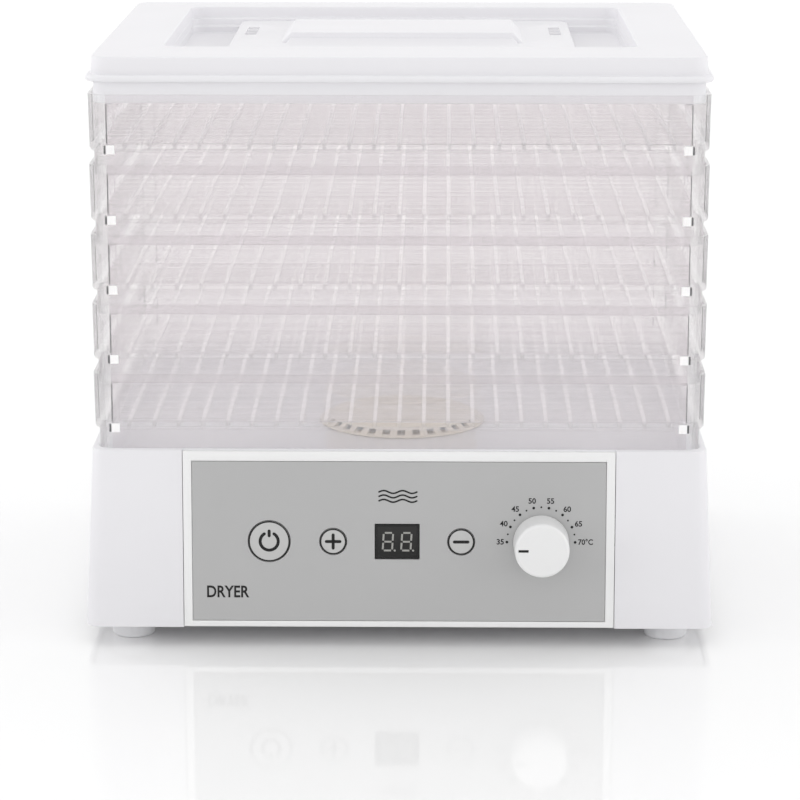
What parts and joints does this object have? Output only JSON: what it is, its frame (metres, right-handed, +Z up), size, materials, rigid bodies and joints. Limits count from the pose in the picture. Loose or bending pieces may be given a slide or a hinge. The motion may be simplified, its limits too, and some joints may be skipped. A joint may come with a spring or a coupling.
{
  "type": "food dehydrator",
  "caption": "Countertop food dehydrator: a base with heater, fan, keys, display and temperature dial under clear stacking trays and a vented lid.",
  "frame": {"origin": "bottom centre of the whole object's box, on the surface that the feet stand on", "axes": "+X to the right along the widest side, -Y towards the user (controls face -Y), +Z up"},
  "size_m": [0.3352, 0.3121, 0.3152],
  "materials": {
    "white_abs": "satin white",
    "clear_polystyrene": "clear",
    "grey_film": "satin grey print",
    "knob_abs": "satin",
    "black_abs": "satin",
    "smoked_window": "gloss",
    "beige_nylon": "satin",
    "circuit_board": "satin",
    "zinc_steel": "satin",
    "mica": "matte",
    "heating_wire": "satin",
    "foot_rubber": "matte",
    "capacitor_sleeve": "gloss"
  },
  "bodies": {
    "base": {"base_housing": "white_abs", "front_bezel": "white_abs", "bottom_cover": "white_abs", "cord_gland": "white_abs", "cord_clamp": "white_abs", "control_overlay": "grey_film", "display_module": "black_abs", "power_switch": "black_abs", "plus_switch": "black_abs", "minus_switch": "black_abs", "potentiometer_body": "black_abs", "relay": "black_abs", "display_window": "smoked_window", "outlet_grille": "beige_nylon", "fuse": "beige_nylon", "control_board": "circuit_board", "power_board": "circuit_board", "potentiometer_nut": "zinc_steel", "air_duct": "zinc_steel", "fan_motor": "zinc_steel", "motor_bracket": "zinc_steel", "thermal_cutout": "zinc_steel", "screw_front_left": "zinc_steel", "screw_front_right": "zinc_steel", "screw_rear_left": "zinc_steel", "screw_rear_right": "zinc_steel", "heater_frame": "mica", "heater_coil": "heating_wire", "foot_front_left": "foot_rubber", "foot_front_right": "foot_rubber", "foot_rear_left": "foot_rubber", "foot_rear_right": "foot_rubber", "capacitor": "capacitor_sleeve"},
    "temperature_knob": {"temperature_knob": "knob_abs", "knob_mark": "black_abs", "potentiometer_shaft": "zinc_steel"},
    "power_key": {"power_button": "grey_film"},
    "plus_key": {"plus_button": "grey_film"},
    "minus_key": {"minus_button": "grey_film"},
    "fan": {"fan_impeller": "black_abs", "motor_shaft": "zinc_steel"},
    "tray_1_body": {"tray_1": "clear_polystyrene"},
    "tray_2_body": {"tray_2": "clear_polystyrene"},
    "tray_3_body": {"tray_3": "clear_polystyrene"},
    "tray_4_body": {"tray_4": "clear_polystyrene"},
    "tray_5_body": {"tray_5": "clear_polystyrene"},
    "lid_body": {"lid": "white_abs"}
  },
  "joints": [
    {"name": "temperature_knob_turn", "type": "hinge", "parent": "base", "child": "temperature_knob", "pos_m": [0.0755, -0.13393, 0.058], "axis": [0, 0.9989, -0.0476], "range_deg": [0, 180]},
    {"name": "power_press", "type": "slide", "parent": "base", "child": "power_key", "axis": [0, 0.9989, -0.0476], "range_m": [0, 0.0008], "stiffness_N_per_m": 600},
    {"name": "plus_press", "type": "slide", "parent": "base", "child": "plus_key", "axis": [0, 0.9989, -0.0476], "range_m": [0, 0.0008], "stiffness_N_per_m": 600},
    {"name": "minus_press", "type": "slide", "parent": "base", "child": "minus_key", "axis": [0, 0.9989, -0.0476], "range_m": [0, 0.0008], "stiffness_N_per_m": 600},
    {"name": "fan_spin", "type": "hinge", "parent": "base", "child": "fan", "pos_m": [0, 0.00841, 0.05], "axis": [0, 0, 1], "continuous": true},
    {"name": "tray_5_lift", "type": "slide", "parent": "base", "child": "tray_5_body", "axis": [0, 0, 1], "range_m": [0, 0.05]},
    {"name": "tray_4_lift", "type": "slide", "parent": "tray_5_body", "child": "tray_4_body", "axis": [0, 0, 1], "range_m": [0, 0.05]},
    {"name": "tray_3_lift", "type": "slide", "parent": "tray_4_body", "child": "tray_3_body", "axis": [0, 0, 1], "range_m": [0, 0.05]},
    {"name": "tray_2_lift", "type": "slide", "parent": "tray_3_body", "child": "tray_2_body", "axis": [0, 0, 1], "range_m": [0, 0.05]},
    {"name": "tray_1_lift", "type": "slide", "parent": "tray_2_body", "child": "tray_1_body", "axis": [0, 0, 1], "range_m": [0, 0.05]},
    {"name": "lid_lift", "type": "slide", "parent": "tray_1_body", "child": "lid_body", "axis": [0, 0, 1], "range_m": [0, 0.06]}
  ]
}
